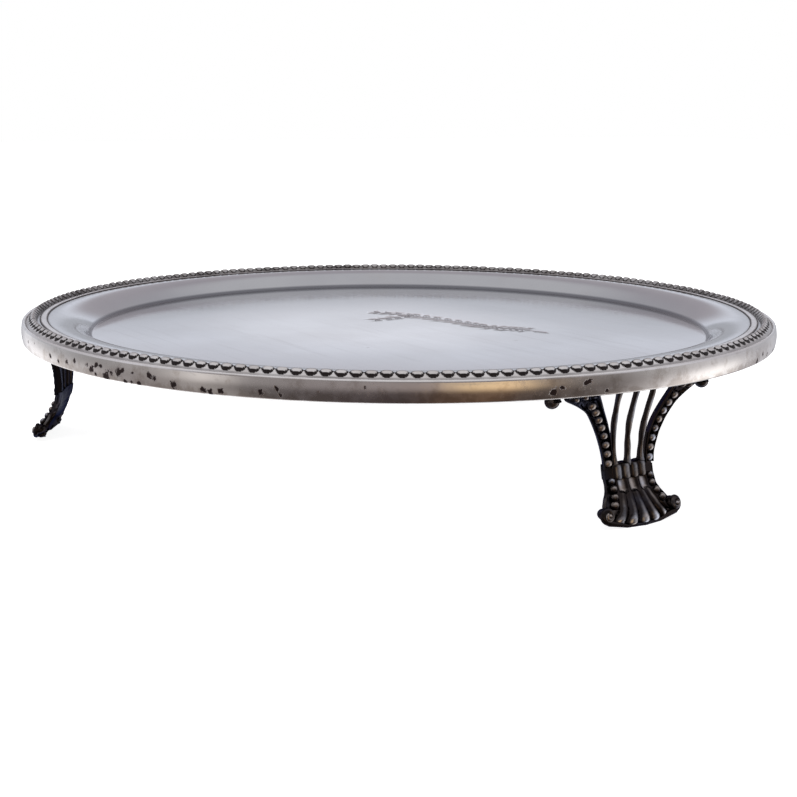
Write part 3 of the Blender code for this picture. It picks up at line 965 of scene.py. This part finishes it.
def toe_shape():
    """The toe: a fluted shell under a lobed collar, between beaded rails that end in volutes."""
    shape = Shape()
    face = even(FACE[8:], 120)
    step = unit(np.gradient(face, axis=0))
    out, up = -step[:, 1:], step[:, :1]
    face_out, face_up = face[:, :1], face[:, 1:]
    half = against_height(TOE_HALF_WIDTH, face_up)
    share = np.linspace(-1, 1, 161)[None, :]
    end = np.abs(share)
    across = half * np.sign(share) * end ** 0.92
    height = face_up + corner_lift(across) * ease(9 * MM, 0, face_up)
    relief, wear_and_highlight = toe_relief(across, height, half + 0 * across)
    crown = against_height(TOE_CROWN, height) * (across / half) ** 2
    under = np.maximum(0, face_radius(TOE_CORNER) - face_out) * ease(1.2 * MM, 1.0 * MM, face_up)
    shift = relief - 0.6 * MM * ease(0.93, 1.0, end) ** 2
    level = np.maximum(height + shift * up, 0.0)
    front = on_foot(across, face_radius(height) - under - crown + shift * out, level)
    inset = ease(0.8, 1.0, end) * np.sign(share) * 0.8 * MM
    back = on_foot(across - inset, face_radius(np.maximum(height, TOE_CORNER)) - crown - TOE_WALL, height)
    shape.sheet(front, back, np.clip(wear_and_highlight, 0, 1))
    add_collar(shape)
    for side in (-1, 1):
        add_rail(shape, side)
        add_volute(shape, side)
    return shape


COLLAR_HALF_WIDTH = 8.1 * MM
COLLAR_LOBES = 4
COLLAR_LOBE_PITCH = 2.6 * MM


def add_collar(shape):
    """A block over the shell on which the bars and straps stand, with upright lobes between the straps."""
    across = np.linspace(-COLLAR_HALF_WIDTH, COLLAR_HALF_WIDTH, 121)[None, :]
    v = np.linspace(0, 1, 22)[:, None]
    lobed = COLLAR_LOBES / 2 * COLLAR_LOBE_PITCH
    middle = ease(lobed + 0.1 * MM, lobed - 0.1 * MM, np.abs(across))
    lobe = np.sqrt(np.clip(1 - ((across / COLLAR_LOBE_PITCH) % 1.0 * 2 - 1) ** 2, 0, 1)) * middle
    ends = np.clip(1 - (2 * v - 1) ** 4, 0, 1) ** 0.5
    relief = 0.65 * MM * lobe * ends - 0.35 * MM
    height = COLLAR_BOTTOM + (COLLAR_TOP + 0.1 * MM - COLLAR_BOTTOM) * v + 0.6 * MM * lobe * (v - 0.7)
    share = np.abs(across) / COLLAR_HALF_WIDTH
    bow = 0.3 * MM * share ** 2 + 0.5 * MM * ease(0.93, 1.0, share)
    front = on_foot(across, face_radius(height) + relief - bow, height)
    back = on_foot(across * 0.92, face_radius(height) - 2.15 * MM, height)
    # Painted highlight on the lobes' tops, with rubbed wear.
    shape.sheet(front, back, 0.62 * lobe ** 2 * ends)


def swept(path, radii, around=16):
    """Rings of points round a path, each with its own radius."""
    ahead = unit(np.gradient(path, axis=0))
    first = unit(np.cross(ahead, unit(path * (1, 1, 0))))
    second = np.cross(first, ahead)
    turn = round_turns(around)[:, None]
    ring = first[:, None] * np.cos(turn) + second[:, None] * np.sin(turn)
    return path[:, None] + ring * np.asarray(radii)[:, None, None]


# Beads down the right side of the toe: distance from the middle line, height and radius.
RAIL_BEADS = ((6.15, 9.5, 0.85), (6.05, 7.9, 0.9), (6.5, 6.3, 0.95), (7.3, 4.8, 1.0))


def add_rail(shape, side):
    """A row of beads in the channel beside the shell."""
    for across, level, radius in RAIL_BEADS:
        place, height = side * across * MM, level * MM
        depth = 0.35 * MM + 1.4 * MM * (across / 10) ** 2 * (1 - level / 12)
        shape.dome(on_foot(place, face_radius(height) - depth, height), on_foot(place, *face_lean(height)),
                   (radius * 0.95 * MM, radius * 1.05 * MM, radius * 1.05 * MM), 0.8, 10, 22)


VOLUTE_CENTRE = (10.15 * MM, 3.35 * MM)
VOLUTE_RADIUS = 2.1 * MM
SCROLL_LEAN = 0.38
# Domes of a volute, in mm: across, distance from the dish's axis, height, radii; then wear with painted
# highlight, rings, steps.
VOLUTE_DOMES = ((10.15, 99.2, 3.35, (1.95, 1.95, 1.25), 0.15, 12, 28),
                (9.0, 98.9, 1.7, (1.3, 1.2, 0.9), 0.1, 10, 22),
                (10.15, 100.7, 3.35, (0.62, 0.62, 0.6), 1.0, 8, 20))


def add_volute(shape, side):
    """A rolled rim along the toe's lower edge that runs out into a scroll and curls round a bead."""
    turns = np.linspace(0, 1, 96)
    angle = math.radians(-80) + math.radians(500) * turns
    spiral = (VOLUTE_RADIUS - 0.72 * MM) * (1 - 0.66 * turns)
    curl_line = around_axis(angle, spiral, turns) + (*VOLUTE_CENTRE, 0)
    lead = np.array([(across * MM, 0.42 * MM + corner_lift(across * MM) * 0.78, 0.0)
                     for across in (-0.4, 1.5, 3.0, 4.5, 6.0, 7.4, 8.6)])
    across, height, curl = even(np.concatenate([lead, curl_line]), 190).T
    crown = against_height(TOE_CROWN, height) * (across / (9.4 * MM)) ** 2
    on_edge = face_radius(np.maximum(height, TOE_CORNER)) - crown - 0.35 * MM
    on_scroll = 99.75 * MM + 1.05 * MM * curl - SCROLL_LEAN * (height - VOLUTE_CENTRE[1])
    depth = on_edge + (on_scroll - on_edge) * ease(7.0 * MM, 9.5 * MM, across)
    depth = np.where(curl > 0, on_scroll, depth)
    thick = (0.42 + 0.34 * ease(5.0 * MM, 8.5 * MM, across)) * MM
    thick = np.where(curl > 0.02, (0.76 - 0.28 * curl) * MM, thick)
    path = on_foot(side * across, depth, np.maximum(height, thick))
    shape.tube(swept(path, thick), np.clip(0.05 + 0.75 * curl, 0, 1))
    outward = on_foot(side * VOLUTE_CENTRE[0], 1.0, SCROLL_LEAN)
    for across, radius, height, radii, wear_and_highlight, rings, around in VOLUTE_DOMES:
        middle = on_foot(side * across * MM, radius * MM, height * MM)
        shape.dome(middle, outward, np.array(radii) * MM, wear_and_highlight, rings, around)


def make_feet(material):
    """Three feet that are alike, each turned to its own place round the rim."""
    for index, azimuth in enumerate(FOOT_AZIMUTHS):
        turn = math.radians(azimuth - FOOT_AZIMUTHS[0])
        foot = f"foot_{index + 1}"
        pieces = [("toe", "toe_shell", toe_shape())]
        for side, word in ((-1, "left"), (1, "right")):
            pieces.append((f"beaded_strap_{word}", f"strap_{word}", strap_shape(side)))
        for side, word in ((-1, "left"), (0, "centre"), (1, "right")):
            pieces.append((f"plain_bar_{word}", f"bar_{word}", bar_shape(side, 40 + 3 * index + side)))
        for name, node, shape in pieces:
            shape.finish(f"{foot}_{name}", material, "feet", [f"{foot}_{node}"], sharp=60, turn=turn)


# ---- Stage, light and camera ----

def make_stage():
    """A pale floor that the silver itself doesn't mirror; its mirror images come from the surroundings."""
    bpy.ops.mesh.primitive_plane_add(size=6.0, location=(0, 0, 0))
    floor = bpy.context.object
    floor.name = "floor"
    nodes = Material("floor_paper")
    nodes.shade({"Roughness": 0.9, "Base Color": rgb(0.5, 0.5, 0.5), "Emission Color": rgb(1, 1, 1),
                 "Emission Strength": 0.9})
    floor.data.materials.append(nodes.material)
    floor.visible_glossy = False


def make_light():
    """One large soft light from above, which lights the floor and isn't mirrored in the silver."""
    data = bpy.data.lights.new("softbox", "AREA")
    data.shape = "DISK"
    data.size = 1.6
    data.energy = 24.0
    lamp = bpy.data.objects.new("softbox", data)
    lamp.location = (-0.2, -0.1, 1.5)
    lamp.rotation_euler = (math.radians(-4), math.radians(-8), 0)
    lamp.visible_glossy = False
    bpy.context.scene.collection.objects.link(lamp)


# Surroundings by compass: degrees from straight behind the object, clockwise seen from above, and the colour.
LOW_RING = ((0, (0.72, 0.74, 0.8)), (28, (0.78, 0.79, 0.84)), (50, (0.44, 0.43, 0.45)),
            (76, (1.5, 1.5, 1.5)), (88, (1.15, 1.14, 1.15)), (98, (0.48, 0.46, 0.46)),
            (122, (0.1, 0.085, 0.08)), (144, (0.075, 0.06, 0.055)), (150, (0.17, 0.105, 0.065)),
            (161, (0.13, 0.085, 0.06)), (180, (0.075, 0.062, 0.064)), (222, (0.1, 0.088, 0.088)),
            (237, (0.36, 0.34, 0.33)), (262, (0.27, 0.25, 0.25)), (290, (0.62, 0.61, 0.62)),
            (315, (1.25, 1.25, 1.28)), (360, (0.72, 0.74, 0.8)))
HORIZON_RING = ((0, (0.86, 0.89, 0.98)), (16, (0.86, 0.89, 0.98)), (28, (0.5, 0.51, 0.55)),
                (60, (0.42, 0.42, 0.45)), (83, (0.56, 0.55, 0.57)), (98, (0.42, 0.41, 0.41)),
                (122, (0.17, 0.155, 0.15)), (137, (0.16, 0.14, 0.13)), (147, (1.02, 0.74, 0.44)),
                (160, (0.94, 0.69, 0.4)), (170, (0.34, 0.29, 0.28)), (188, (0.29, 0.26, 0.26)),
                (222, (0.24, 0.225, 0.225)), (236, (0.85, 0.82, 0.8)), (251, (0.36, 0.345, 0.345)),
                (277, (0.3, 0.295, 0.3)), (300, (0.42, 0.43, 0.46)), (344, (0.86, 0.89, 0.98)),
                (360, (0.86, 0.89, 0.98)))
MIDDLE_RING = ((0, (0.46, 0.43, 0.46)), (60, (0.5, 0.49, 0.52)), (95, (0.64, 0.64, 0.69)),
               (130, (0.24, 0.22, 0.22)), (180, (0.22, 0.2, 0.2)), (230, (0.24, 0.22, 0.22)),
               (265, (0.64, 0.64, 0.69)), (300, (0.5, 0.49, 0.52)), (360, (0.46, 0.43, 0.46)))
LOW_WALL = (0.46, 0.47, 0.51)
OVERHEAD = (0.62, 0.61, 0.63)


def compass_ring(nodes, share, stops):
    """Colours round the compass, from stops of (degrees, colour)."""
    ramp_colour = nodes.node("ValToRGB", "Color", {"Fac": share})
    ramp = ramp_colour.node.color_ramp
    ramp.interpolation = "EASE"
    for element, (degrees, colour) in zip(ramp.elements, (stops[0], stops[-1])):
        element.position = degrees / 360
        element.color = rgb(*colour)
    for degrees, colour in stops[1:-1]:
        ramp.elements.new(degrees / 360).color = rgb(*colour)
    return ramp_colour


def make_world():
    """White to the camera; to all else, soft panels in three rings, with a dark gap behind the viewer."""
    world = bpy.data.worlds.new("studio")
    world.use_nodes = True
    bpy.context.scene.world = world
    nodes = Nodes(world.node_tree)
    turned = nodes.node("VectorRotate", "Vector", {"Vector": nodes.node("TexCoord", "Generated", {}),
                                                   "Angle": -CAMERA_AZIMUTH}, rotation_type="Z_AXIS")
    split = nodes.node("SeparateXYZ", "X", {"Vector": turned}).node.outputs
    compass = nodes.math("ARCTAN2", split["X"], split["Y"])
    share = nodes.math("FRACT", nodes.plus(nodes.math("DIVIDE", compass, math.tau), 1.0))
    rings = (LOW_RING, HORIZON_RING, MIDDLE_RING)
    low, horizon, middle = (compass_ring(nodes, share, stops) for stops in rings)

    def blend(start, end, below, above):
        return nodes.mix(nodes.span(split["Z"], start, end), below, above)

    wall = blend(0.141, 0.157, rgb(*LOW_WALL), horizon)
    around = nodes.mix(nodes.span(split["Y"], 0.8, 0.92), blend(-0.3, 0.08, low, horizon), wall)
    around = blend(0.13, 0.31, around, middle)
    around = blend(0.6, 0.85, around, rgb(*OVERHEAD))
    surroundings = nodes.tree.nodes["Background"].outputs["Background"]
    nodes.put(around, surroundings.node.inputs["Color"])
    white = nodes.node("Background", "Background", {"Color": rgb(1, 1, 1), "Strength": 1.0})
    seen = nodes.node("LightPath", "Is Camera Ray", {})
    pick = nodes.node("MixShader", "Shader", {"Fac": seen, 1: surroundings, 2: white})
    nodes.put(pick, nodes.tree.nodes["World Output"].inputs["Surface"])


def make_camera():
    """The viewer stands to the left of foot 1 and looks slightly down on the dish."""
    data = bpy.data.cameras.new("camera")
    data.lens = LENS
    data.clip_start = 0.01
    camera = bpy.data.objects.new("camera", data)
    ground = -VIEW_AHEAD * CAMERA_DISTANCE
    camera.location = (ground.x, ground.y, CAMERA_HEIGHT)
    bearing = Matrix.Rotation(CAMERA_AZIMUTH, 4, "Z")
    pitch = Matrix.Rotation(math.pi / 2 - CAMERA_PITCH, 4, "X")
    roll = Matrix.Rotation(CAMERA_ROLL, 4, "Z")
    camera.rotation_euler = (bearing @ pitch @ roll).to_euler()
    bpy.context.scene.collection.objects.link(camera)
    bpy.context.scene.camera = camera


def main():
    """Set the stage, then make every piece."""
    make_camera()
    make_world()
    make_light()
    make_stage()
    make_dish(dish_silver())
    border = border_silver()
    make_reed(border)
    make_beads(border)
    make_band(band_silver())
    make_feet(foot_silver())
    bpy.context.scene.view_settings.view_transform = "Standard"


main()
